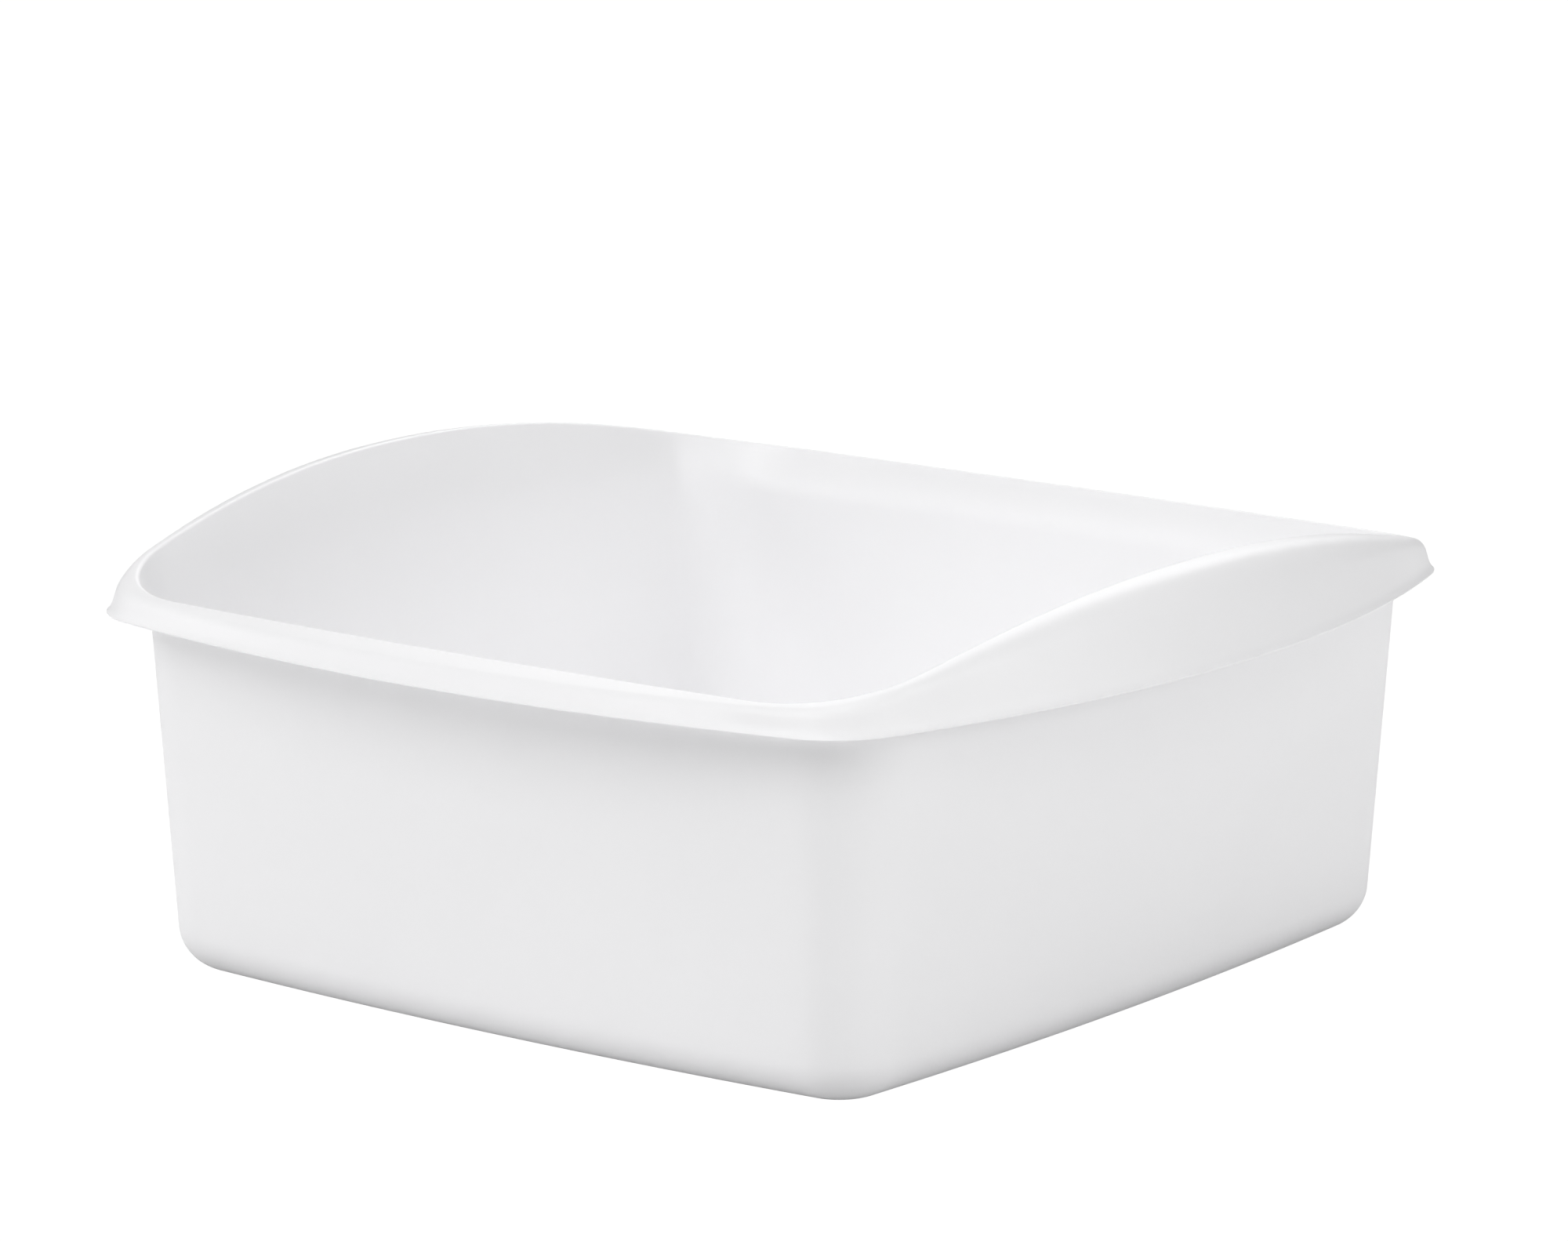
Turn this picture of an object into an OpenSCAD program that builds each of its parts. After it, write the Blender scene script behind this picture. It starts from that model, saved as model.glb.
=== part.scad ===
// Square washing up bowl, moulded in one piece of white plastic.
// The body leans outwards from its foot. Its top edge rolls over into a rim that hangs
// down as a skirt: low along the front and back, and arched up into a handle at each end.
// Lengths are in millimetres. The origin is on the table under the middle of the bowl,
// +X points to the right handle, +Y to the back rim and +Z up.

/* [Overall size] */
// Length over the lips of the two handles
bowl_length = 340; // [325:1:360]
// Width over the lips of the front and back rims
bowl_width = 345; // [330:1:365]
// Height of the low rims above the table
rim_height = 120.5; // [105:0.5:140]
// Rise of a handle's arch above the low rims
arch_rise = 21.5; // [10:0.1:30]

/* [Body] */
// Thickness of the walls
wall_thickness = 2.2; // [1.6:0.1:3]
// Thickness of the floor
floor_thickness = 2.2; // [1.6:0.1:3]
// Overhang of a handle's lip beyond the end wall
handle_overhang = 24.2; // [20:0.1:28]
// Overhang of a low rim's lip beyond the front or back wall
rim_overhang = 22.1; // [19:0.1:26]
// Lean of an end wall, from its foot to the height of the lip
end_lean = 7.4; // [3:0.1:12]
// Lean of the front or back wall, from its foot to the height of the lip
side_lean = 6.3; // [3:0.1:12]
// Radius of the body's corners at the height of the lip
body_corner = 25.5; // [22:0.5:30]
// Radius of the body's corners at the foot
foot_corner = 20.4; // [18.5:0.1:24]
// Outward bow of each wall between its corners
wall_bow = 4.7; // [2:0.1:7]
// Radius of the bend between the walls and the floor
bend_radius = 13.4; // [9:0.1:14]
// Width of the flat ring that the bowl stands on
foot_width = 3.5; // [2:0.1:4]
// Rise of the floor's underside above the table
floor_recess = 1; // [0.5:0.1:2]

/* [Rim] */
// Drop of the lip below the top of the low rims
lip_drop = 7.8; // [6:0.1:10]
// Distance from a handle's crest out to its lip
handle_reach = 16; // [14:0.1:18]
// Distance from a low rim's crest out to its lip
rim_reach = 15.3; // [13:0.1:17]
// Radius of the rounded crest
crest_radius = 1.45; // [1:0.05:2]
// Radius of the crest's corners
crest_corner = 38.7; // [35:0.1:42]
// Outward bow of a low rim's crest
rim_crest_bow = 2.3; // [1:0.1:5]
// Outward bow of a handle's crest
handle_crest_bow = 8.3; // [5:0.1:11]
// Radius of the lip's corners
lip_corner = 27; // [24:0.1:31]
// Outward bow of a low rim's lip
rim_lip_bow = 18.5; // [15:0.1:20]
// Outward bow of a handle's lip
handle_lip_bow = 27; // [23:0.1:28]
// Thickness of the skirt
skirt_thickness = 1.8; // [1.4:0.1:2.2]
// Height over which the top of a low wall leans out to its crest
flare_height = 13; // [9:0.5:16]

/* [Hidden] */

shell_white = [0.93, 0.93, 0.94];
rim_white = [0.97, 0.97, 0.98];
floor_white = [0.89, 0.89, 0.90];

// Segments along half a side, round a corner, along half an end and round the bend
side_steps = 6;
corner_steps = 12;
end_steps = 9;
bend_steps = 6;
// Segments of the curves in a section of the rim, on its upper and its lower face
flare_steps = 4;
shoulder_steps = 4;
lip_steps = 3;
nook_steps = flare_steps + 2;
under_lip_steps = lip_steps + 1;

lip_z = rim_height - lip_drop;
crest_z = rim_height - crest_radius;
floor_top = floor_recess + floor_thickness;
// Walls and rims meet at this height, below the flare
joint_drop = 16;
joint_z = lip_z - joint_drop;
// Each corner piece turns about an upright axis, which stands this far inside the lips
axis_inset_x = 62;
axis_inset_y = 60.5;
axis_x = bowl_length / 2 - axis_inset_x;
axis_y = bowl_width / 2 - axis_inset_y;
// The floor's edge steps up from the foot ring over this width
step_width = 1;
// An arch is rounder than a parabola on top, and runs out more gently at its feet
arch_roundness = 2.14;
arch_run_out = 1.22;
// Part of the arch's rise that the foot of the flare follows
flare_follow = 0.45;
// The inner face of the flare bends this far below the outer one
flare_bend_drop = 1;
// The flare meets the crest's bead at the first angle, and the bead goes on to the last
bead_angles = [160, 125, 90];
// Share of the rim's width that its land takes, between the crest and the shoulder
land_share = 0.57;
// Fall of the land from the crest to the shoulder
rim_land_fall = 2;
handle_land_fall = 1.2;
// Length of land that the rounding of the shoulder takes
rim_softness = 1.5;
handle_softness = 6.5;
// The rounding of a handle's shoulder runs this much further down its skirt
handle_soft_down = 1.6;
// The lip turns out below the skirt's line by this much, over this height
lip_flare = 0.9;
lip_flare_height = 4;
lip_round = 0.5;
// Share of the lip's height at which it turns out
lip_turn = 0.65;
// A rounding leaves at least this share of its side straight
straight_share = 0.2;
// Least width of the hollow under the crest, and least length of its rounding
nook_width = 1;
least_softness = 0.3;
// The gate mark left in the middle of the underside
gate_mark_diameter = 9;
gate_mark_depth = 0.4;

// An outline is a rectangle with round corners and bowed sides, seen from above, as
// [half length, half width, corner radius, radius of the front and back, radius of the ends]
function bow_radius(half_span, bow) = (half_span ^ 2 + bow ^ 2) / (2 * bow);
function outline(length, width, corner, side_bow, end_bow) = [
    length / 2,
    width / 2,
    corner,
    bow_radius(length / 2 - corner, side_bow) + corner,
    bow_radius(width / 2 - corner, end_bow) + corner,
];
function inset(shape, d) = [for (v = shape) v - d];
function mix(a, b, share) = a + (b - a) * share;
function unit(v) = v / norm(v);

lip_shape = outline(bowl_length, bowl_width, lip_corner, rim_lip_bow, handle_lip_bow);
crest_shape = outline(
    bowl_length - 2 * handle_reach, bowl_width - 2 * rim_reach,
    crest_corner, rim_crest_bow, handle_crest_bow
);
body_length = bowl_length - 2 * handle_overhang;
body_width = bowl_width - 2 * rim_overhang;
body_shape = outline(body_length, body_width, body_corner, wall_bow, wall_bow);
foot_shape = outline(
    body_length - 2 * end_lean, body_width - 2 * side_lean,
    foot_corner, wall_bow, wall_bow
);

// Centre of a corner arc, which touches the side arc and the end arc from inside
function corner_centre(shape) =
    let (
        side_centre = [0, shape[1] - shape[3]],
        end_centre = [shape[0] - shape[4], 0],
        gap = norm(end_centre - side_centre),
        along = unit(end_centre - side_centre),
        side_arm = shape[3] - shape[2],
        end_arm = shape[4] - shape[2],
        foot = (side_arm ^ 2 - end_arm ^ 2 + gap ^ 2) / (2 * gap)
    )
    side_centre + foot * along + sqrt(side_arm ^ 2 - foot ^ 2) * [along.y, -along.x];

// A ray is [start, direction] seen from above. Every section of the bowl stands on one.
function reach_of_circle(ray, centre, radius) =
    let (b = (centre - ray[0]) * ray[1])
    b + sqrt(b ^ 2 - norm(centre - ray[0]) ^ 2 + radius ^ 2);
function reach(shape, ray) =
    let (
        side_centre = [0, shape[1] - shape[3]],
        end_centre = [shape[0] - shape[4], 0],
        corner = corner_centre(shape),
        side_tangent = corner + shape[2] * unit(corner - side_centre),
        end_tangent = corner + shape[2] * unit(corner - end_centre)
    )
    cross(ray[1], side_tangent - ray[0]) <= 0 ? reach_of_circle(ray, side_centre, shape[3])
    : cross(ray[1], end_tangent - ray[0]) >= 0 ? reach_of_circle(ray, end_centre, shape[4])
    : reach_of_circle(ray, corner, shape[2]);

side_rays = [for (k = [-side_steps : side_steps]) [[axis_x * k / side_steps, 0], [0, 1]]];
corner_rays = [
    for (k = [0 : corner_steps])
        let (turn = 90 - 90 * k / corner_steps)
        [[axis_x, axis_y], [cos(turn), sin(turn)]]
];
end_rays = [for (k = [end_steps : -1 : -end_steps]) [[0, axis_y * k / end_steps], [1, 0]]];

// Points of a curve from a to c that leaves and arrives along the lines to b
function curve(a, b, c, steps) = [
    for (k = [0 : steps])
        let (t = k / steps)
        mix(mix(a, b, t), mix(b, c, t), t)
];

// Distance along a ray to the wall at height z, a depth d inside its outer face
function wall_reach(ray, z, d) = reach(inset(mix(foot_shape, body_shape, z / lip_z), d), ray);

// One face of the bend, as points [distance along the ray, height]
function bend(ray, radius, bottom) = [
    for (k = [0 : bend_steps])
        let (
            a = 90 * k / bend_steps,
            z = bottom + radius * (1 - cos(a))
        )
        [wall_reach(ray, z, bend_radius - radius * sin(a)), z]
];
function floor_edge(ray) = wall_reach(ray, 0, bend_radius + foot_width + step_width);

// A section is a sheet with two faces: its upper face first, and its lower face backwards.
// Both faces have the same number of points, and each pair of points spans the sheet.
function sheet(upper, lower) = concat(upper, [for (k = [len(lower) - 1 : -1 : 0]) lower[k]]);

// Section of a wall, from the floor's edge through the foot and the bend up to the rim
function wall_section(ray) =
    let (foot_edge = wall_reach(ray, 0, bend_radius + foot_width))
    sheet(
        concat(
            [[floor_edge(ray), floor_top], [foot_edge, floor_top]],
            bend(ray, bend_radius - wall_thickness, floor_top),
            [[wall_reach(ray, joint_z, wall_thickness), joint_z]]
        ),
        concat(
            [[floor_edge(ray), floor_recess], [foot_edge, 0]],
            bend(ray, bend_radius, 0),
            [[wall_reach(ray, joint_z, 0), joint_z]]
        )
    );

// Rise of the crest where a ray meets it: an arch over each end, nothing at the front and back
function arch(ray, crest) =
    let (y = (ray[0].y + ray[1].y * crest) / crest_shape[1])
    arch_rise * max(0, 1 - abs(y) ^ arch_roundness) ^ arch_run_out;

// Section of the rim, from the wall over the crest and the shoulder down to the lip
function rim_section(ray) =
    let (
        crest = reach(crest_shape, ray),
        lip = reach(lip_shape, ray),
        rise = arch(ray, crest),
        share = rise / arch_rise,
        top = crest_z + rise,
        flare_z = crest_z - flare_height + flare_follow * rise,
        bend_z = mix(flare_z, top, 0.5),
        fall = mix(rim_land_fall, handle_land_fall, share) * min(1, (lip - crest) / rim_reach),
        shoulder = [mix(crest, lip, land_share), top + crest_radius - fall],
        steepness = unit([lip, lip_z] - shoulder).y,
        skirt_foot = [lip - lip_flare * steepness ^ 2, lip_z],
        land_line = unit(shoulder - [crest, top + crest_radius]),
        skirt_line = unit(skirt_foot - shoulder),
        soft = min(
            mix(rim_softness, handle_softness, sqrt(share)),
            (1 - straight_share) * (shoulder.x - crest)
        ),
        soft_down = soft * mix(1, handle_soft_down, share),
        lip_part = min(lip_flare_height, 0.5 * (shoulder.y - lip_z)),
        skirt_low = skirt_foot + skirt_line * lip_part / skirt_line.y,
        inner_shoulder = shoulder + [skirt_thickness / skirt_line.y, -skirt_thickness],
        nook = [min(crest + wall_thickness, inner_shoulder.x - nook_width), top - skirt_thickness],
        inner_side = (1 - straight_share) * (inner_shoulder.x - nook.x),
        inner_soft = max(least_softness, min(soft - skirt_thickness, inner_side)),
        lip_foot = [lip - skirt_thickness, lip_z],
        inner_low = skirt_low + [skirt_thickness / skirt_line.y, 0],
        bead = [for (a = bead_angles) [crest, top] + crest_radius * [cos(a), sin(a)]]
    )
    sheet(
        concat(
            [[wall_reach(ray, joint_z, wall_thickness), joint_z]],
            curve(
                [wall_reach(ray, flare_z, wall_thickness), flare_z],
                [wall_reach(ray, bend_z, wall_thickness), bend_z],
                bead[0],
                flare_steps
            ),
            [bead[1], bead[2]],
            curve(
                shoulder - soft * land_line,
                shoulder,
                shoulder + soft_down * skirt_line,
                shoulder_steps
            ),
            curve(
                skirt_low,
                mix(skirt_low, skirt_foot, lip_turn),
                [lip, lip_z + lip_round],
                lip_steps
            ),
            [[lip - lip_round, lip_z]]
        ),
        concat(
            [[wall_reach(ray, joint_z, 0), joint_z]],
            curve(
                [wall_reach(ray, flare_z, 0), flare_z],
                [wall_reach(ray, bend_z - flare_bend_drop, 0), bend_z - flare_bend_drop],
                nook,
                nook_steps
            ),
            curve(
                inner_shoulder + inner_soft * unit(nook - inner_shoulder),
                inner_shoulder,
                inner_shoulder + inner_soft * skirt_line,
                shoulder_steps
            ),
            curve(inner_low, mix(inner_low, lip_foot, 0.5), lip_foot, under_lip_steps)
        )
    );

// Stands a section up on its ray
function stand(ray, section) = [
    for (p = section) [ray[0].x + ray[1].x * p[0], ray[0].y + ray[1].y * p[0], p[1]]
];

// Closed solid through sections that all have the same number of points
module loft(sections) {
    m = len(sections[0]);
    last = (len(sections) - 1) * m;
    skin = [
        for (j = [0 : m : last - m]) for (k = [0 : m - 1])
            let (
                a = j + k,
                b = j + (k + 1) % m
            )
            each [[a, b, b + m], [a, b + m, a + m]]
    ];
    cap = [
        for (k = [0 : m / 2 - 2])
            let (pair = m - 1 - k)
            each [[k, k + 1, pair - 1], [k, pair - 1, pair]]
    ];
    start_cap = [for (f = cap) [f[2], f[1], f[0]]];
    end_cap = [for (f = cap) [last + f[0], last + f[1], last + f[2]]];
    polyhedron([for (s = sections) each s], concat(skin, start_cap, end_cap));
}

module wall_along(rays) {
    loft([for (ray = rays) stand(ray, wall_section(ray))]);
}

module rim_along(rays) {
    loft([for (ray = rays) stand(ray, rim_section(ray))]);
}

// Places a piece that is drawn for the back right quarter
module to_front() {
    mirror([0, 1, 0]) children();
}

module to_left() {
    mirror([1, 0, 0]) children();
}

module floor_panel() {
    quarter = concat(
        [for (k = [side_steps : 2 * side_steps]) side_rays[k]],
        [for (k = [1 : corner_steps - 1]) corner_rays[k]],
        [for (k = [0 : end_steps]) end_rays[k]]
    );
    edge = [for (ray = quarter) ray[0] + ray[1] * floor_edge(ray)];
    last = len(edge) - 1;
    right_half = concat(edge, [for (k = [last - 1 : -1 : 0]) [edge[k].x, -edge[k].y]]);
    left_half = [for (k = [2 * last - 1 : -1 : 1]) [-right_half[k].x, right_half[k].y]];
    color(floor_white)
        difference() {
            translate([0, 0, floor_recess])
                linear_extrude(floor_thickness) polygon(concat(right_half, left_half));
            cylinder(h = floor_recess + gate_mark_depth, d = gate_mark_diameter, $fn = 32);
        }
}

module back_wall() {
    color(shell_white) wall_along(side_rays);
}

module front_wall() {
    to_front() back_wall();
}

module right_wall() {
    color(shell_white) wall_along(end_rays);
}

module left_wall() {
    to_left() right_wall();
}

module back_right_corner() {
    color(shell_white) wall_along(corner_rays);
}

module back_left_corner() {
    to_left() back_right_corner();
}

module front_right_corner() {
    to_front() back_right_corner();
}

module front_left_corner() {
    to_front() to_left() back_right_corner();
}

module back_rim() {
    color(rim_white) rim_along(side_rays);
}

module front_rim() {
    to_front() back_rim();
}

module right_handle() {
    color(rim_white) rim_along(end_rays);
}

module left_handle() {
    to_left() right_handle();
}

module back_right_rim_corner() {
    color(rim_white) rim_along(corner_rays);
}

module back_left_rim_corner() {
    to_left() back_right_rim_corner();
}

module front_right_rim_corner() {
    to_front() back_right_rim_corner();
}

module front_left_rim_corner() {
    to_front() to_left() back_right_rim_corner();
}

floor_panel();
front_wall();
back_wall();
left_wall();
right_wall();
front_left_corner();
front_right_corner();
back_left_corner();
back_right_corner();
front_rim();
back_rim();
left_handle();
right_handle();
front_left_rim_corner();
front_right_rim_corner();
back_left_rim_corner();
back_right_rim_corner();
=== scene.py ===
"""Square washing up bowl: the fine shapes and the finish of its moulding, and a white studio.

Run as a script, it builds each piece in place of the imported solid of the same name.
Lengths are in metres, +X points to the right handle, +Y to the back rim and +Z up.
"""

import math
from types import SimpleNamespace

import bmesh
import bpy
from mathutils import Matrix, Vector


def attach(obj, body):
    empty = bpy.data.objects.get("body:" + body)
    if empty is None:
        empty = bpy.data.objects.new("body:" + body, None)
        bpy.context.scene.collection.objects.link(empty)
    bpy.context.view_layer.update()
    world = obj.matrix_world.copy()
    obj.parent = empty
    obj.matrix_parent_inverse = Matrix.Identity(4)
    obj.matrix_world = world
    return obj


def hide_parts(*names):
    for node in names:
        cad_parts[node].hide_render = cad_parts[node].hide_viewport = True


bl_info = {
    "name": "Washing Up Bowl",
    "version": (1, 0, 0),
    "blender": (4, 5, 0),
    "location": "3D View > Sidebar > Washing Up Bowl",
    "description": "Builds a square moulded washing up bowl, its plastic and its studio",
    "category": "Add Mesh",
}

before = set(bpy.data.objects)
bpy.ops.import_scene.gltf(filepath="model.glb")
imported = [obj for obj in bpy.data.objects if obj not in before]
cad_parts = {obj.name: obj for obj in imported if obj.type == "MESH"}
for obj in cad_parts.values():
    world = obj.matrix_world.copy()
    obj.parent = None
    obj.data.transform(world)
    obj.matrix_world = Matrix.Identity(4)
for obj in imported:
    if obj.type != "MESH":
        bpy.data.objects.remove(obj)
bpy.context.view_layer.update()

# Segments along half a side, round a corner and along half an end
SIDE_STEPS = 30
CORNER_STEPS = 44
END_STEPS = 36
# Segments of the curves in a section
BEND_STEPS = 20
FLARE_STEPS = 14
BEAD_STEPS = 8
SHOULDER_STEPS = 12
LIP_STEPS = 8
LIP_EDGE_STEPS = 3

# Where the flare meets the crest's bead, as an angle from its outer side over its top
BEAD_START = math.radians(160)
# A rounding takes at most this share of its side
ROUNDING_SHARE = 0.8
# The lip turns out this share of the way down its height
LIP_TURN = 0.65

# Faces that meet at a greater angle than this have a sharp edge
SHARP_ANGLE = math.radians(35)

# Refractive index of polypropylene
PLASTIC_IOR = 1.49
# Scale, in cells to a metre, and detail of the noises of the plastic's colour, its sheen and
# its grain
CLOUDS = (14, 3)
SHEEN = (45, 4)
GRAIN = (900, 2)
# Values of a noise at which the colour and the sheen reach their two ends
NOISE_LOW = 0.2
NOISE_HIGH = 0.8
GRAIN_DEPTH = 0.0004

TABLE_RADIUS = 7
TABLE_SEGMENTS = 96
TABLE_ROUGHNESS = 0.9
# Grey of the table away from the bowl
TABLE_WHITE = 0.8
# The table's painted shade beside the bowl, which stands in for the bowl's shadow, fades out
# between these distances from the middle, measured along X or Y
SHADE_START = 0.138
SHADE_END = 0.155
# The camera sees the table and the room in a white of this strength
WHITE_STRENGTH = 1.05

# Soft lights at this distance from the point that they look at: azimuth and elevation in
# degrees, size in metres and power in watts
LIGHT_DISTANCE = 3
LIGHT_AIM = Vector((0, 0, 0.06))
SOFTBOXES = {
    "front_softbox": (0, 42, 1.7, 31),
    "front_left_softbox": (310, 22, 1.9, 22),
    "left_softbox": (270, 35, 2.4, 8),
    "overhead_softbox": (0, 78, 1.9, 26),
    "camera_softbox": (45, 40, 1.2, 5),
    "right_softbox": (90, 35, 2.4, 20),
    "low_right_softbox": (108, 12, 1.4, 19.5),
    "back_left_softbox": (205, 38, 2.2, 35),
}
# A square light just above the bowl's floor looks straight up
INNER_GLOW_PLACE = Vector((0, 0, 0.006))
INNER_GLOW_SIZE = 0.2

# In millimetres, as the camera's lens is
SENSOR_WIDTH = 36

# Signs along X and Y of each quarter of the bowl, which all mirror the back right one
QUARTERS = {
    "back_right": (1, 1),
    "back_left": (-1, 1),
    "front_right": (1, -1),
    "front_left": (-1, -1),
}


def length_property(name, description, millimetres):
    """A length in metres, with its default given in millimetres"""
    return bpy.props.FloatProperty(
        name=name,
        description=description,
        default=millimetres / 1000,
        min=0,
        precision=5,
        subtype="DISTANCE",
        unit="LENGTH",
    )


class BodySizes(bpy.types.PropertyGroup):
    """Sizes of the floor and the walls"""

    length: length_property("Length", "Length over the lips of the two handles", 340)
    width: length_property("Width", "Width over the lips of the low rims", 345)
    rim_height: length_property("Rim height", "Height of the low rims", 120.5)
    wall: length_property("Wall", "Thickness of the walls", 2.2)
    floor: length_property("Floor", "Thickness of the floor", 2.2)
    handle_overhang: length_property("Handle overhang", "From an end wall to the lip", 24.2)
    rim_overhang: length_property("Rim overhang", "From the front wall to the lip", 22.1)
    end_lean: length_property("End lean", "Lean of an end wall up to the lip", 7.4)
    side_lean: length_property("Side lean", "Lean of the front wall up to the lip", 6.3)
    corner: length_property("Corner", "Corner radius of the body beside the lip", 25.5)
    foot_corner: length_property("Foot corner", "Corner radius of the body's foot", 20.4)
    bow: length_property("Bow", "Outward bow of each wall", 4.7)
    bend: length_property("Bend", "Radius between the walls and the floor", 13.4)
    foot_width: length_property("Foot width", "Width of the ring it stands on", 3.5)
    foot_step: length_property("Foot step", "Width of the step inside the ring", 1)
    recess: length_property("Recess", "Rise of the floor's underside", 1)
    gate_mark: length_property("Gate mark", "Diameter of the mark under the floor", 9)
    gate_depth: length_property("Gate depth", "Depth of the mark under the floor", 0.4)


class RimSizes(bpy.types.PropertyGroup):
    """Sizes of the rims and the handles"""

    arch_rise: length_property("Arch rise", "Rise of a handle above the low rims", 21.5)
    joint_drop: length_property("Joint drop", "From the lip down to the walls' top", 16)
    axis_inset_x: length_property("Axis inset X", "From the lip to a corner's axis", 62)
    axis_inset_y: length_property("Axis inset Y", "From the lip to a corner's axis", 60.5)
    lip_drop: length_property("Lip drop", "From the top of the low rims to the lip", 7.8)
    handle_reach: length_property("Handle reach", "From a handle's crest to its lip", 16)
    rim_reach: length_property("Rim reach", "From a low rim's crest to its lip", 15.3)
    crest_radius: length_property("Crest radius", "Radius of the rounded crest", 1.45)
    crest_corner: length_property("Crest corner", "Corner radius of the crest", 38.7)
    rim_crest_bow: length_property("Rim crest bow", "Bow of a low rim's crest", 2.3)
    handle_crest_bow: length_property("Handle crest bow", "Bow of a handle's crest", 8.3)
    lip_corner: length_property("Lip corner", "Corner radius of the lip", 27)
    rim_lip_bow: length_property("Rim lip bow", "Bow of a low rim's lip", 18.5)
    handle_lip_bow: length_property("Handle lip bow", "Bow of a handle's lip", 27)
    skirt: length_property("Skirt", "Thickness of the skirt", 1.8)
    flare_height: length_property("Flare height", "Height of the flare below a crest", 13)
    rim_land_fall: length_property("Rim land fall", "Fall of a low rim's land", 2)
    handle_land_fall: length_property("Handle land fall", "Fall of a handle's land", 1.2)
    rim_softness: length_property("Rim softness", "Rounding of a low rim", 1.5)
    handle_softness: length_property("Handle softness", "Rounding of a handle", 6.5)
    lip_flare: length_property("Lip flare", "How far the lip turns out", 0.9)
    lip_flare_height: length_property("Lip flare height", "Height of that turn", 4)
    lip_round: length_property("Lip round", "Rounding of the lip's edge", 0.5)
    nook_width: length_property("Nook width", "Least hollow under the crest", 1)
    least_softness: length_property("Least softness", "Least rounding inside", 0.3)
    flare_bend_drop: length_property("Flare bend drop", "Inner bend below the outer", 1)
    arch_roundness: bpy.props.FloatProperty(
        name="Arch roundness",
        description="Power of an arch's curve; 2 is a parabola, and more is rounder on top",
        default=2.14,
        min=1,
        max=4,
    )
    arch_run_out: bpy.props.FloatProperty(
        name="Arch run-out",
        description="How gently an arch runs out at its feet; 1 is not at all",
        default=1.22,
        min=1,
        max=3,
    )
    flare_follow: bpy.props.FloatProperty(
        name="Flare follow",
        description="Part of the arch's rise that the foot of the flare follows",
        default=0.45,
        min=0,
        max=1,
    )
    land_share: bpy.props.FloatProperty(
        name="Land share",
        description="Share of the rim's width between the crest and the shoulder",
        default=0.57,
        min=0.1,
        max=0.9,
    )
    soft_down: bpy.props.FloatProperty(
        name="Soft down",
        description="How much further a handle's rounding runs down its skirt",
        default=1.6,
        min=1,
        max=3,
    )


class PlasticLook(bpy.types.PropertyGroup):
    """Finish of the white polypropylene"""

    white: bpy.props.FloatVectorProperty(
        name="White",
        description="Colour of the plastic",
        subtype="COLOR",
        size=3,
        min=0,
        max=1,
        default=(0.906, 0.904, 0.913),
    )
    shade: bpy.props.FloatVectorProperty(
        name="Shade",
        description="Colour of the faint clouds in the plastic",
        subtype="COLOR",
        size=3,
        min=0,
        max=1,
        default=(0.894, 0.892, 0.902),
    )
    gloss: bpy.props.FloatProperty(
        name="Least roughness",
        description="Roughness where the moulding is smoothest",
        default=0.38,
        min=0,
        max=1,
    )
    satin: bpy.props.FloatProperty(
        name="Most roughness",
        description="Roughness where the moulding is most satin",
        default=0.46,
        min=0,
        max=1,
    )
    grain: bpy.props.FloatProperty(
        name="Grain",
        description="Strength of the fine moulded grain",
        default=0.06,
        min=0,
        max=1,
    )


class StudioLook(bpy.types.PropertyGroup):
    """Camera and light of the studio"""

    azimuth: bpy.props.FloatProperty(
        name="Azimuth",
        description="Direction of the camera round the bowl, from the front to the right",
        default=math.radians(37.7),
        subtype="ANGLE",
        unit="ROTATION",
    )
    elevation: bpy.props.FloatProperty(
        name="Elevation",
        description="Height of the camera above the horizon",
        default=math.radians(13.3),
        subtype="ANGLE",
        unit="ROTATION",
    )
    distance: bpy.props.FloatProperty(
        name="Distance",
        description="From the camera to the middle of the bowl",
        default=2.118,
        min=0.5,
        subtype="DISTANCE",
        unit="LENGTH",
    )
    aim_height: bpy.props.FloatProperty(
        name="Aim height",
        description="Height of the point that the camera looks at",
        default=0.0595,
        subtype="DISTANCE",
        unit="LENGTH",
    )
    lens: bpy.props.FloatProperty(
        name="Lens",
        description="Focal length in millimetres on a sensor 36 mm wide",
        default=157.6,
        min=20,
    )
    shift_x: bpy.props.FloatProperty(
        name="Shift X", description="Sideways shift of the picture", default=0.0026
    )
    shift_y: bpy.props.FloatProperty(
        name="Shift Y", description="Upward shift of the picture", default=0.088
    )
    # Painted shadow: the table's colour is made this darker grey beside the bowl in place of the
    # bowl's shadow
    table_shade: bpy.props.FloatProperty(
        name="Table shade",
        description="Grey of the table beside the bowl, where it stands in the bowl's shadow",
        default=0.62,
        min=0,
        max=1,
    )
    # Painted light: the table glows though it is no lamp, in place of the light that comes up
    # from the lit table
    table_glow: bpy.props.FloatProperty(
        name="Table glow",
        description="Strength of the light that comes up from the lit table",
        default=0.15,
        min=0,
    )
    inner_glow: bpy.props.FloatProperty(
        name="Inner glow",
        description="Power of the light that shines through the floor of the bowl, in watts",
        default=0.06,
        min=0,
    )


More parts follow.
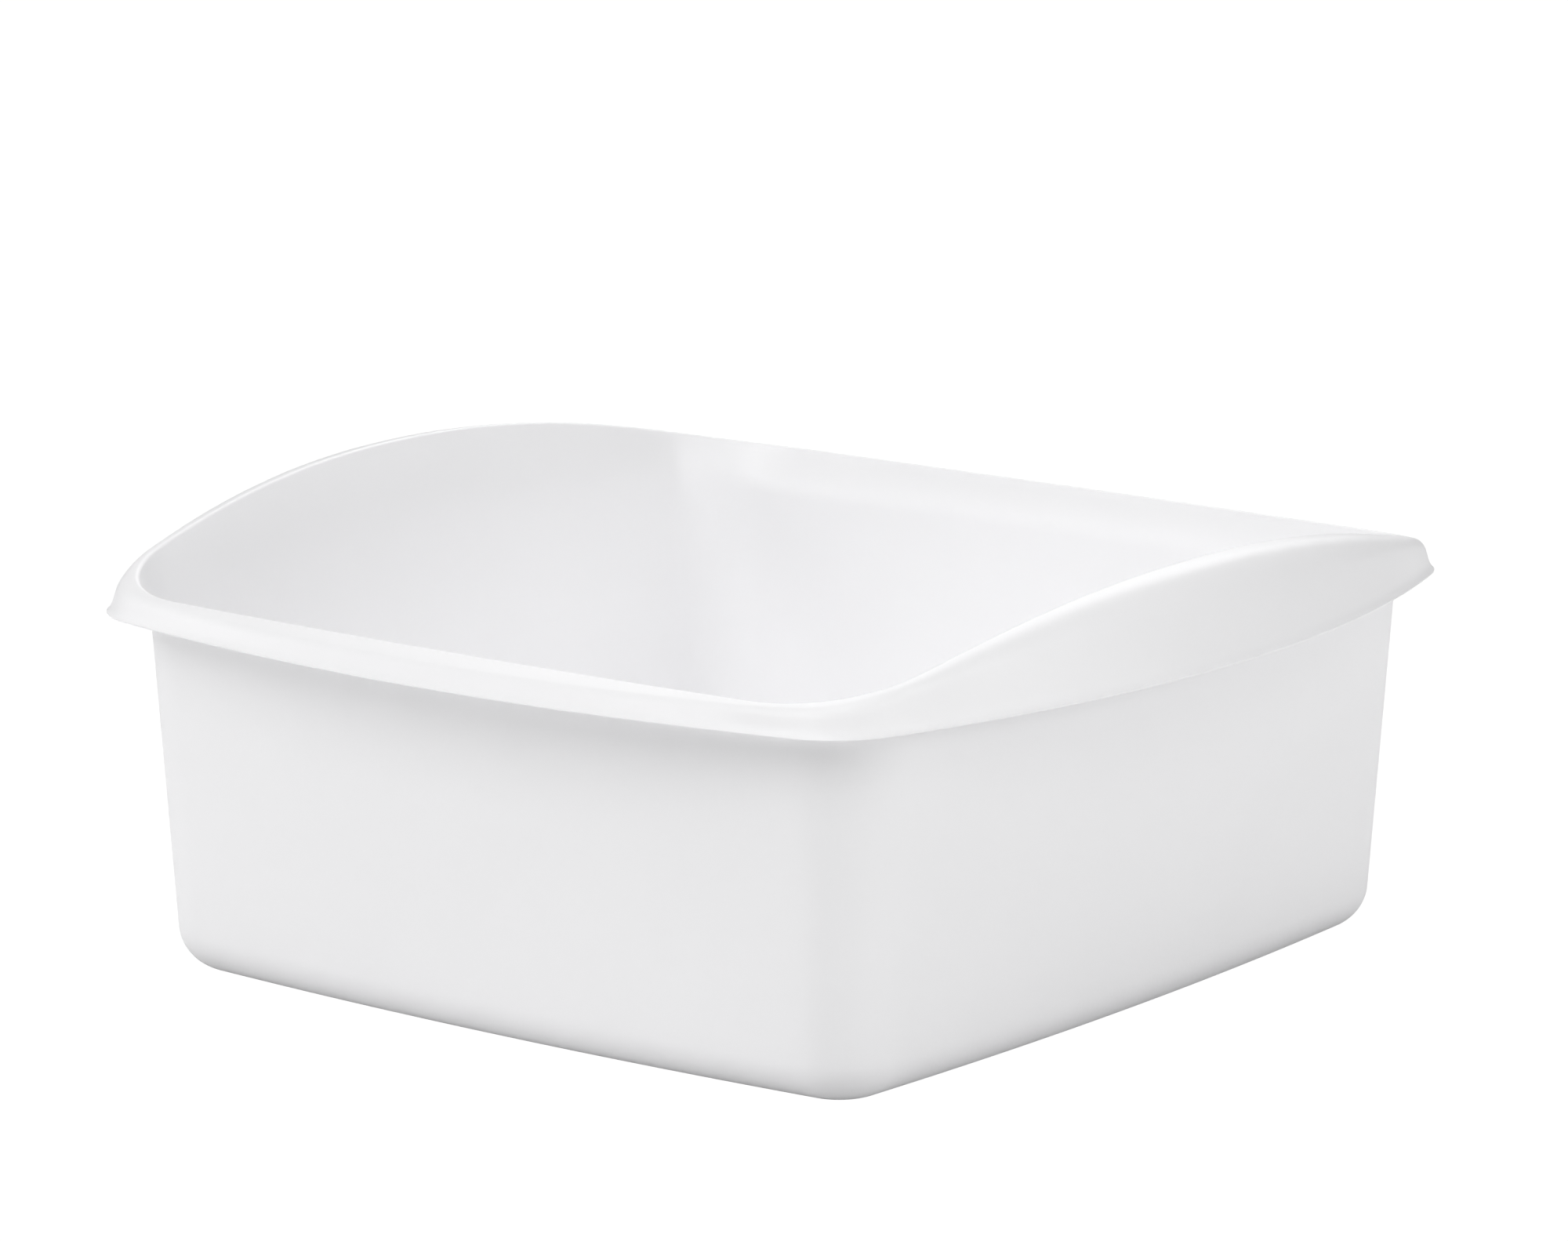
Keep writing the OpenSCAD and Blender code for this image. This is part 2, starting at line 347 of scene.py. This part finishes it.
class BowlShape:
    """Outlines and sections of the bowl, from its sizes.

    An outline is a rectangle with round corners and bowed sides, seen from above: half
    length, half width, corner radius, radius of the front and back, radius of the ends.
    A ray is a start and a direction seen from above. Every section stands on one.
    """

    def __init__(self, body, rim):
        self.body = body
        self.rim = rim
        self.lip_z = body.rim_height - rim.lip_drop
        self.crest_z = body.rim_height - rim.crest_radius
        self.floor_top = body.recess + body.floor
        self.joint_z = self.lip_z - rim.joint_drop
        self.axis_x = body.length / 2 - rim.axis_inset_x
        self.axis_y = body.width / 2 - rim.axis_inset_y
        body_length = body.length - 2 * body.handle_overhang
        body_width = body.width - 2 * body.rim_overhang
        self.lip = outline(
            body.length, body.width, rim.lip_corner, rim.rim_lip_bow, rim.handle_lip_bow
        )
        self.crest = outline(
            body.length - 2 * rim.handle_reach,
            body.width - 2 * rim.rim_reach,
            rim.crest_corner,
            rim.rim_crest_bow,
            rim.handle_crest_bow,
        )
        self.top = outline(body_length, body_width, body.corner, body.bow, body.bow)
        self.foot = outline(
            body_length - 2 * body.end_lean,
            body_width - 2 * body.side_lean,
            body.foot_corner,
            body.bow,
            body.bow,
        )

    def side_rays(self):
        """Rays across the back wall and rim, from the left to the right"""
        steps = [k / SIDE_STEPS for k in range(-SIDE_STEPS, SIDE_STEPS + 1)]
        return [(Vector((self.axis_x * k, 0)), Vector((0, 1))) for k in steps]

    def corner_rays(self):
        """Rays that fan out over the back right corner, from the back to the right"""
        axis = Vector((self.axis_x, self.axis_y))
        turns = [math.pi / 2 * (1 - k / CORNER_STEPS) for k in range(CORNER_STEPS + 1)]
        return [(axis, Vector((math.cos(turn), math.sin(turn)))) for turn in turns]

    def end_rays(self):
        """Rays across the right wall and handle, from the back to the front"""
        steps = [k / END_STEPS for k in range(END_STEPS, -END_STEPS - 1, -1)]
        return [(Vector((0, self.axis_y * k)), Vector((1, 0))) for k in steps]

    def wall_reach(self, ray, z, depth):
        """Distance along a ray to the wall at height z, a depth inside its outer face"""
        share = z / self.lip_z
        return reach([mix(f, t, share) - depth for f, t in zip(self.foot, self.top)], ray)

    def wall_point(self, ray, z, depth):
        return Vector((self.wall_reach(ray, z, depth), z))

    def foot_edge(self, ray):
        """Distance along a ray to the inner edge of the ring that the bowl stands on"""
        return self.wall_reach(ray, 0, self.body.bend + self.body.foot_width)

    def floor_edge(self, ray):
        """Distance along a ray to the joint of the floor and the walls"""
        inside = self.body.bend + self.body.foot_width + self.body.foot_step
        return self.wall_reach(ray, 0, inside)

    def bend(self, ray, radius, bottom):
        """One face of the bend between a wall and the floor"""
        points = []
        for k in range(BEND_STEPS + 1):
            turn = math.pi / 2 * k / BEND_STEPS
            z = bottom + radius * (1 - math.cos(turn))
            depth = self.body.bend - radius * math.sin(turn)
            points.append(self.wall_point(ray, z, depth))
        return points

    def wall_section(self, ray):
        """From the floor's edge through the foot and the bend up to the rim, and back"""
        body = self.body
        upper = [
            Vector((self.floor_edge(ray), self.floor_top)),
            Vector((self.foot_edge(ray), self.floor_top)),
            *self.bend(ray, body.bend - body.wall, self.floor_top),
            self.wall_point(ray, self.joint_z, body.wall),
        ]
        lower = [
            Vector((self.floor_edge(ray), body.recess)),
            Vector((self.foot_edge(ray), 0)),
            *self.bend(ray, body.bend, 0),
            self.wall_point(ray, self.joint_z, 0),
        ]
        return upper + lower[::-1]

    def arch(self, ray, crest):
        """Rise of the crest where a ray meets it: an arch over each end"""
        rim = self.rim
        y = abs(ray[0].y + ray[1].y * crest) / self.crest[1]
        return rim.arch_rise * max(0, 1 - y**rim.arch_roundness) ** rim.arch_run_out

    def bead(self, centre, land_angle):
        """The rounded crest, from the flare over the top to the land"""
        turns = [mix(BEAD_START, land_angle, k / BEAD_STEPS) for k in range(BEAD_STEPS + 1)]
        arms = [Vector((math.cos(turn), math.sin(turn))) for turn in turns]
        return [centre + self.rim.crest_radius * arm for arm in arms]

    def rim_guide(self, ray):
        """Heights, points and lines that both faces of the rim follow on a ray"""
        rim = self.rim
        crest = reach(self.crest, ray)
        lip = reach(self.lip, ray)
        rise = self.arch(ray, crest)
        share = rise / rim.arch_rise
        centre = Vector((crest, self.crest_z + rise))
        flare_z = self.crest_z - rim.flare_height + rim.flare_follow * rise
        fall = mix(rim.rim_land_fall, rim.handle_land_fall, share)
        fall *= min(1, (lip - crest) / rim.rim_reach)
        top = centre.y + rim.crest_radius
        shoulder = Vector((mix(crest, lip, rim.land_share), top - fall))
        bead = self.bead(centre, math.pi / 2 - math.atan2(fall, shoulder.x - crest))
        soft = min(
            mix(rim.rim_softness, rim.handle_softness, math.sqrt(share)),
            ROUNDING_SHARE * (shoulder.x - bead[-1].x),
        )
        steepness = (Vector((lip, self.lip_z)) - shoulder).normalized().y
        skirt_foot = Vector((lip - rim.lip_flare * steepness**2, self.lip_z))
        skirt_line = (skirt_foot - shoulder).normalized()
        lip_part = min(rim.lip_flare_height, 0.5 * (shoulder.y - self.lip_z))
        return SimpleNamespace(
            flare_z=flare_z,
            bend_z=mix(flare_z, centre.y, 0.5),
            crest=crest,
            crest_z=centre.y,
            bead=bead,
            land_line=(shoulder - bead[-1]).normalized(),
            shoulder=shoulder,
            soft=soft,
            soft_down=soft * mix(1, rim.soft_down, share),
            skirt_line=skirt_line,
            skirt_low=skirt_foot + skirt_line * lip_part / skirt_line.y,
            skirt_foot=skirt_foot,
            lip=lip,
        )

    def rim_upper(self, ray, guide):
        """From inside the bowl over the crest and the shoulder down to the lip's edge"""
        wall = self.body.wall
        lip_round = self.rim.lip_round
        lip_side = Vector((guide.lip, self.lip_z + lip_round))
        return [
            self.wall_point(ray, self.joint_z, wall),
            *curve(
                self.wall_point(ray, guide.flare_z, wall),
                self.wall_point(ray, guide.bend_z, wall),
                guide.bead[0],
                FLARE_STEPS,
            ),
            *guide.bead[1:],
            *curve(
                guide.shoulder - guide.soft * guide.land_line,
                guide.shoulder,
                guide.shoulder + guide.soft_down * guide.skirt_line,
                SHOULDER_STEPS,
            ),
            *curve(
                guide.skirt_low,
                mix(guide.skirt_low, guide.skirt_foot, LIP_TURN),
                lip_side,
                LIP_STEPS,
            ),
            *curve(
                lip_side,
                Vector((guide.lip, self.lip_z)),
                Vector((guide.lip - lip_round, self.lip_z)),
                LIP_EDGE_STEPS,
            )[1:],
        ]

    def rim_lower(self, ray, guide):
        """From outside the wall up into the hollow of the rim and down inside its skirt"""
        rim = self.rim
        across = Vector((rim.skirt / guide.skirt_line.y, 0))
        shoulder = guide.shoulder + across - Vector((0, rim.skirt))
        nook_x = min(guide.crest + self.body.wall, shoulder.x - rim.nook_width)
        nook = Vector((nook_x, guide.crest_z - rim.skirt))
        soft = min(guide.soft - rim.skirt, ROUNDING_SHARE * (shoulder.x - nook.x))
        soft = max(rim.least_softness, soft)
        skirt_low = guide.skirt_low + across
        lip_foot = Vector((guide.lip - rim.skirt, self.lip_z))
        return [
            self.wall_point(ray, self.joint_z, 0),
            *curve(
                self.wall_point(ray, guide.flare_z, 0),
                self.wall_point(ray, guide.bend_z - rim.flare_bend_drop, 0),
                nook,
                FLARE_STEPS,
            ),
            *curve(
                shoulder + soft * (nook - shoulder).normalized(),
                shoulder,
                shoulder + soft * guide.skirt_line,
                SHOULDER_STEPS,
            ),
            *curve(skirt_low, mix(skirt_low, lip_foot, 0.5), lip_foot, LIP_STEPS),
        ]

    def rim_section(self, ray):
        """From the wall over the crest and the shoulder down to the lip, and back"""
        guide = self.rim_guide(ray)
        return self.rim_upper(ray, guide) + self.rim_lower(ray, guide)[::-1]


def mix(a, b, share):
    """The value, or the point, that lies a share of the way from one to another"""
    return a + (b - a) * share


def outline(length, width, corner, side_bow, end_bow):
    """An outline, from its lengths over all and the bows of its sides and its ends"""
    return [
        length / 2,
        width / 2,
        corner,
        bow_radius(length / 2 - corner, side_bow) + corner,
        bow_radius(width / 2 - corner, end_bow) + corner,
    ]


def bow_radius(half_span, bow):
    """Radius of an arc that bows out by a little over its span"""
    return (half_span**2 + bow**2) / (2 * bow)


def cross(a, b):
    """Above zero where the second direction lies to the left of the first"""
    return a.x * b.y - a.y * b.x


def reach_of_circle(ray, centre, radius):
    """Distance along a ray to the far side of a circle"""
    to_centre = centre - ray[0]
    along = to_centre.dot(ray[1])
    return along + math.sqrt(along**2 - to_centre.length_squared + radius**2)


def reach(shape, ray):
    """Distance along a ray to an outline, which has a side arc, a corner arc and an end arc"""
    half_length, half_width, corner_radius, side_radius, end_radius = shape
    side_centre = Vector((0, half_width - side_radius))
    end_centre = Vector((half_length - end_radius, 0))
    side_arm = side_radius - corner_radius
    end_arm = end_radius - corner_radius
    gap = (end_centre - side_centre).length
    along = (end_centre - side_centre) / gap
    foot = (side_arm**2 - end_arm**2 + gap**2) / (2 * gap)
    height = math.sqrt(side_arm**2 - foot**2)
    corner = side_centre + foot * along + height * Vector((along.y, -along.x))
    side_tangent = corner + corner_radius * (corner - side_centre).normalized()
    end_tangent = corner + corner_radius * (corner - end_centre).normalized()
    if cross(ray[1], side_tangent - ray[0]) <= 0:
        return reach_of_circle(ray, side_centre, side_radius)
    if cross(ray[1], end_tangent - ray[0]) >= 0:
        return reach_of_circle(ray, end_centre, end_radius)
    return reach_of_circle(ray, corner, corner_radius)


def curve(start, middle, end, steps):
    """Points of a curve that leaves and arrives along the lines to its middle point"""
    shares = [k / steps for k in range(steps + 1)]
    return [mix(mix(start, middle, t), mix(middle, end, t), t) for t in shares]


def stand(ray, point):
    """Stands a point of a section up on its ray"""
    place = ray[0] + ray[1] * point.x
    return Vector((place.x, place.y, point.y))


def grow(mesh, rings):
    """Extrudes a face from ring to ring, and keeps it at the first ring and at the last"""
    first = cap = mesh.faces.new([mesh.verts.new(place) for place in rings[0]])
    for ring in rings[1:]:
        grown = bmesh.ops.extrude_face_region(mesh, geom=[cap])["geom"]
        if cap is not first:
            bmesh.ops.delete(mesh, geom=[cap], context="FACES_ONLY")
        cap = next(part for part in grown if isinstance(part, bmesh.types.BMFace))
        for corner, place in zip(cap.verts, ring):
            corner.co = place


def mould(rays, section, side):
    """Makes the closed shape of a piece that is drawn for the back right quarter"""
    mesh = bmesh.new()
    grow(mesh, [[stand(ray, point) for point in section(ray)] for ray in rays])
    bmesh.ops.scale(mesh, vec=(side[0], side[1], 1), verts=mesh.verts)
    return mesh


def finish_piece(name, mesh):
    """Makes the object of a piece, which stands for the solid of the same name"""
    bmesh.ops.recalc_face_normals(mesh, faces=mesh.faces)
    for face in mesh.faces:
        face.smooth = True
    for edge in mesh.edges:
        edge.smooth = edge.calc_face_angle() < SHARP_ANGLE
    data = bpy.data.meshes.new(name)
    mesh.to_mesh(data)
    mesh.free()
    piece = bpy.data.objects.new("moulded_" + name, data)
    bpy.context.scene.collection.objects.link(piece)
    data.materials.append(bowl_plastic())
    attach(piece, "root")
    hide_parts(name)


def add_noise(tree, place, scale, detail):
    """A noise that keeps its place on the bowl"""
    noise = tree.nodes.new("ShaderNodeTexNoise")
    noise.inputs["Scale"].default_value = scale
    noise.inputs["Detail"].default_value = detail
    tree.links.new(place.outputs["Object"], noise.inputs["Vector"])
    return noise.outputs["Fac"]


def white_plastic(look):
    """Satin white polypropylene with faint clouds and a fine moulded grain"""
    plastic = bpy.data.materials.new("white_polypropylene")
    plastic.use_nodes = True
    tree = plastic.node_tree
    nodes, links = tree.nodes, tree.links
    shader = nodes["Principled BSDF"]
    shader.inputs["IOR"].default_value = PLASTIC_IOR
    place = nodes.new("ShaderNodeTexCoord")

    tint = nodes.new("ShaderNodeValToRGB")
    tint.color_ramp.elements[0].position = NOISE_LOW
    tint.color_ramp.elements[0].color = (*look.shade, 1)
    tint.color_ramp.elements[1].position = NOISE_HIGH
    tint.color_ramp.elements[1].color = (*look.white, 1)
    links.new(add_noise(tree, place, *CLOUDS), tint.inputs["Fac"])
    links.new(tint.outputs["Color"], shader.inputs["Base Color"])

    gloss = nodes.new("ShaderNodeMapRange")
    gloss.inputs["From Min"].default_value = NOISE_LOW
    gloss.inputs["From Max"].default_value = NOISE_HIGH
    gloss.inputs["To Min"].default_value = look.gloss
    gloss.inputs["To Max"].default_value = look.satin
    links.new(add_noise(tree, place, *SHEEN), gloss.inputs["Value"])
    links.new(gloss.outputs["Result"], shader.inputs["Roughness"])

    relief = nodes.new("ShaderNodeBump")
    relief.inputs["Strength"].default_value = look.grain
    relief.inputs["Distance"].default_value = GRAIN_DEPTH
    links.new(add_noise(tree, place, *GRAIN), relief.inputs["Height"])
    links.new(relief.outputs["Normal"], shader.inputs["Normal"])
    return plastic


def bowl_plastic():
    """The one plastic of all the pieces, made when it is first asked for"""
    found = bpy.data.materials.get("white_polypropylene")
    return found or white_plastic(bpy.context.scene.bowl_plastic)


def bowl_shape():
    """The bowl's outlines and sections, from the sizes in the scene"""
    return BowlShape(bpy.context.scene.bowl_body, bpy.context.scene.bowl_rim)


class BOWL_OT_floor(bpy.types.Operator):
    """Make the floor, with the gate mark in the middle of its underside"""

    bl_idname = "bowl.floor"
    bl_label = "Floor"

    def execute(self, context):
        shape = bowl_shape()
        body = shape.body
        quarter = shape.side_rays()[SIDE_STEPS:]
        quarter += shape.corner_rays()[1:-1] + shape.end_rays()[: END_STEPS + 1]
        edge = [stand(ray, Vector((shape.floor_edge(ray), 0))) for ray in quarter]
        edge += [Vector((p.x, -p.y, 0)) for p in edge[-2::-1]]
        edge += [Vector((-p.x, p.y, 0)) for p in edge[-2:0:-1]]
        mark = [p.normalized() * body.gate_mark / 2 for p in edge]
        rings = [
            (mark, body.recess + body.gate_depth),
            (mark, body.recess),
            (edge, body.recess),
            (edge, shape.floor_top),
        ]
        mesh = bmesh.new()
        grow(mesh, [[(p.x, p.y, z) for p in places] for places, z in rings])
        finish_piece("floor_panel", mesh)
        return {"FINISHED"}


class BOWL_OT_walls(bpy.types.Operator):
    """Make the four leaning walls, each with its bend and its stretch of the foot"""

    bl_idname = "bowl.walls"
    bl_label = "Walls"

    def execute(self, context):
        shape = bowl_shape()
        pieces = {
            "back_wall": (shape.side_rays(), (1, 1)),
            "front_wall": (shape.side_rays(), (1, -1)),
            "right_wall": (shape.end_rays(), (1, 1)),
            "left_wall": (shape.end_rays(), (-1, 1)),
        }
        for name, (rays, side) in pieces.items():
            mesh = mould(rays, shape.wall_section, side)
            finish_piece(name, mesh)
        return {"FINISHED"}


class BOWL_OT_corners(bpy.types.Operator):
    """Make the four round corners of the body"""

    bl_idname = "bowl.corners"
    bl_label = "Corners"

    def execute(self, context):
        shape = bowl_shape()
        for quarter, side in QUARTERS.items():
            mesh = mould(shape.corner_rays(), shape.wall_section, side)
            finish_piece(quarter + "_corner", mesh)
        return {"FINISHED"}


class BOWL_OT_rims(bpy.types.Operator):
    """Make the low rims at the front and the back"""

    bl_idname = "bowl.rims"
    bl_label = "Low rims"

    def execute(self, context):
        shape = bowl_shape()
        for name, side in {"back_rim": (1, 1), "front_rim": (1, -1)}.items():
            mesh = mould(shape.side_rays(), shape.rim_section, side)
            finish_piece(name, mesh)
        return {"FINISHED"}


class BOWL_OT_handles(bpy.types.Operator):
    """Make the arched handle of each end"""

    bl_idname = "bowl.handles"
    bl_label = "Handles"

    def execute(self, context):
        shape = bowl_shape()
        for name, side in {"right_handle": (1, 1), "left_handle": (-1, 1)}.items():
            mesh = mould(shape.end_rays(), shape.rim_section, side)
            finish_piece(name, mesh)
        return {"FINISHED"}


class BOWL_OT_rim_corners(bpy.types.Operator):
    """Make the four corners of the rim, where the low rims climb to the handles"""

    bl_idname = "bowl.rim_corners"
    bl_label = "Rim corners"

    def execute(self, context):
        shape = bowl_shape()
        for quarter, side in QUARTERS.items():
            mesh = mould(shape.corner_rays(), shape.rim_section, side)
            finish_piece(quarter + "_rim_corner", mesh)
        return {"FINISHED"}


def from_side(azimuth, elevation):
    """Direction out to the camera or a light; azimuth 0 is the front, 90 the right"""
    across = math.cos(elevation)
    return Vector((math.sin(azimuth) * across, -math.cos(azimuth) * across, math.sin(elevation)))


def add_softbox(name, place, aim, size, power):
    """A square soft light that looks at a point"""
    data = bpy.data.lights.new(name, "AREA")
    data.shape = "SQUARE"
    data.size = size
    data.energy = power
    light = bpy.data.objects.new(name, data)
    light.location = place
    light.rotation_euler = (aim - place).to_track_quat("-Z", "Y").to_euler()
    light.visible_camera = False
    bpy.context.scene.collection.objects.link(light)


def white_to_camera(tree, lit, output):
    """Light the scene with one shader, and show the camera a pure white one"""
    path = tree.nodes.new("ShaderNodeLightPath")
    white = tree.nodes.new("ShaderNodeEmission")
    white.inputs["Color"].default_value = (1, 1, 1, 1)
    white.inputs["Strength"].default_value = WHITE_STRENGTH
    choice = tree.nodes.new("ShaderNodeMixShader")
    tree.links.new(path.outputs["Is Camera Ray"], choice.inputs["Fac"])
    tree.links.new(lit.outputs[0], choice.inputs[1])
    tree.links.new(white.outputs["Emission"], choice.inputs[2])
    tree.links.new(choice.outputs["Shader"], output.inputs["Surface"])


def shade_near_bowl(tree, shader, look):
    """Paint the bowl's shadow on the table: a darker grey and half the painted glow beside the
    bowl, and white with the full glow farther out
    """
    nodes, links = tree.nodes, tree.links
    place = nodes.new("ShaderNodeTexCoord")
    positive = nodes.new("ShaderNodeVectorMath")
    positive.operation = "ABSOLUTE"
    links.new(place.outputs["Object"], positive.inputs[0])
    parts = nodes.new("ShaderNodeSeparateXYZ")
    links.new(positive.outputs["Vector"], parts.inputs["Vector"])
    farther = nodes.new("ShaderNodeMath")
    farther.operation = "MAXIMUM"
    links.new(parts.outputs["X"], farther.inputs[0])
    links.new(parts.outputs["Y"], farther.inputs[1])
    # Painted shadow: the table's colour and its glow are both lowered beside the bowl
    for socket, near, far in (
        ("Base Color", look.table_shade, TABLE_WHITE),
        ("Emission Strength", look.table_glow / 2, look.table_glow),
    ):
        fade = nodes.new("ShaderNodeMapRange")
        fade.interpolation_type = "SMOOTHSTEP"
        fade.inputs["From Min"].default_value = SHADE_START
        fade.inputs["From Max"].default_value = SHADE_END
        fade.inputs["To Min"].default_value = near
        fade.inputs["To Max"].default_value = far
        links.new(farther.outputs["Value"], fade.inputs["Value"])
        links.new(fade.outputs["Result"], shader.inputs[socket])


def white_paper(look):
    """Matt paper that the camera sees as pure white"""
    paper = bpy.data.materials.new("white_paper")
    paper.use_nodes = True
    tree = paper.node_tree
    shader = tree.nodes["Principled BSDF"]
    shader.inputs["Roughness"].default_value = TABLE_ROUGHNESS
    shader.inputs["Specular IOR Level"].default_value = 0
    # The table's glow is painted light that stands in for light coming up from the lit table
    shader.inputs["Emission Color"].default_value = (1, 1, 1, 1)
    shade_near_bowl(tree, shader, look)
    white_to_camera(tree, shader, tree.nodes["Material Output"])
    return paper


def add_table(scene, look):
    """A wide round table under the bowl"""
    mesh = bmesh.new()
    bmesh.ops.create_circle(mesh, cap_ends=True, segments=TABLE_SEGMENTS, radius=TABLE_RADIUS)
    data = bpy.data.meshes.new("table")
    mesh.to_mesh(data)
    mesh.free()
    data.materials.append(white_paper(look))
    table = bpy.data.objects.new("table", data)
    scene.collection.objects.link(table)


def add_room(scene):
    """A room that the camera sees as pure white, and that gives no light of its own"""
    room = bpy.data.worlds.new("white_room")
    room.use_nodes = True
    tree = room.node_tree
    dark = tree.nodes["Background"]
    dark.inputs["Strength"].default_value = 0
    white_to_camera(tree, dark, tree.nodes["World Output"])
    scene.world = room


def add_camera(scene, look):
    """The camera of the photograph, which looks at a point above the middle of the bowl"""
    side = from_side(look.azimuth, look.elevation)
    data = bpy.data.cameras.new("camera")
    data.lens = look.lens
    data.sensor_width = SENSOR_WIDTH
    data.shift_x = look.shift_x
    data.shift_y = look.shift_y
    camera = bpy.data.objects.new("camera", data)
    camera.location = Vector((0, 0, look.aim_height)) + look.distance * side
    camera.rotation_euler = (-side).to_track_quat("-Z", "Y").to_euler()
    scene.collection.objects.link(camera)
    scene.camera = camera


class BOWL_OT_stage(bpy.types.Operator):
    """Make the white table, the soft lights and the camera"""

    bl_idname = "bowl.stage"
    bl_label = "Studio"

    def execute(self, context):
        scene = context.scene
        look = scene.bowl_studio
        add_table(scene, look)
        add_room(scene)
        scene.view_settings.view_transform = "Standard"
        for name, (azimuth, elevation, size, power) in SOFTBOXES.items():
            side = from_side(math.radians(azimuth), math.radians(elevation))
            add_softbox(name, LIGHT_AIM + LIGHT_DISTANCE * side, LIGHT_AIM, size, power)
        above = INNER_GLOW_PLACE + Vector((0, 0, 1))
        add_softbox("inner_glow", INNER_GLOW_PLACE, above, INNER_GLOW_SIZE, look.inner_glow)
        add_camera(scene, look)
        return {"FINISHED"}


class BOWL_PT_sidebar(bpy.types.Panel):
    """Buttons that make the bowl and its studio"""

    bl_label = "Washing Up Bowl"
    bl_idname = "BOWL_PT_sidebar"
    bl_space_type = "VIEW_3D"
    bl_region_type = "UI"
    bl_category = "Washing Up Bowl"

    def draw(self, context):
        for operator in OPERATORS:
            self.layout.operator(operator.bl_idname)


OPERATORS = (
    BOWL_OT_stage,
    BOWL_OT_floor,
    BOWL_OT_walls,
    BOWL_OT_corners,
    BOWL_OT_rims,
    BOWL_OT_handles,
    BOWL_OT_rim_corners,
)
GROUPS = {
    "bowl_body": BodySizes,
    "bowl_rim": RimSizes,
    "bowl_plastic": PlasticLook,
    "bowl_studio": StudioLook,
}


def register():
    for group in (*GROUPS.values(), *OPERATORS, BOWL_PT_sidebar):
        bpy.utils.register_class(group)
    for name, group in GROUPS.items():
        setattr(bpy.types.Scene, name, bpy.props.PointerProperty(type=group))


def unregister():
    for name in GROUPS:
        delattr(bpy.types.Scene, name)
    for group in (BOWL_PT_sidebar, *reversed(OPERATORS), *GROUPS.values()):
        bpy.utils.unregister_class(group)


def main():
    register()
    bpy.ops.bowl.stage()
    bpy.ops.bowl.floor()
    bpy.ops.bowl.walls()
    bpy.ops.bowl.corners()
    bpy.ops.bowl.rims()
    bpy.ops.bowl.handles()
    bpy.ops.bowl.rim_corners()


if __name__ == "__main__":
    main()
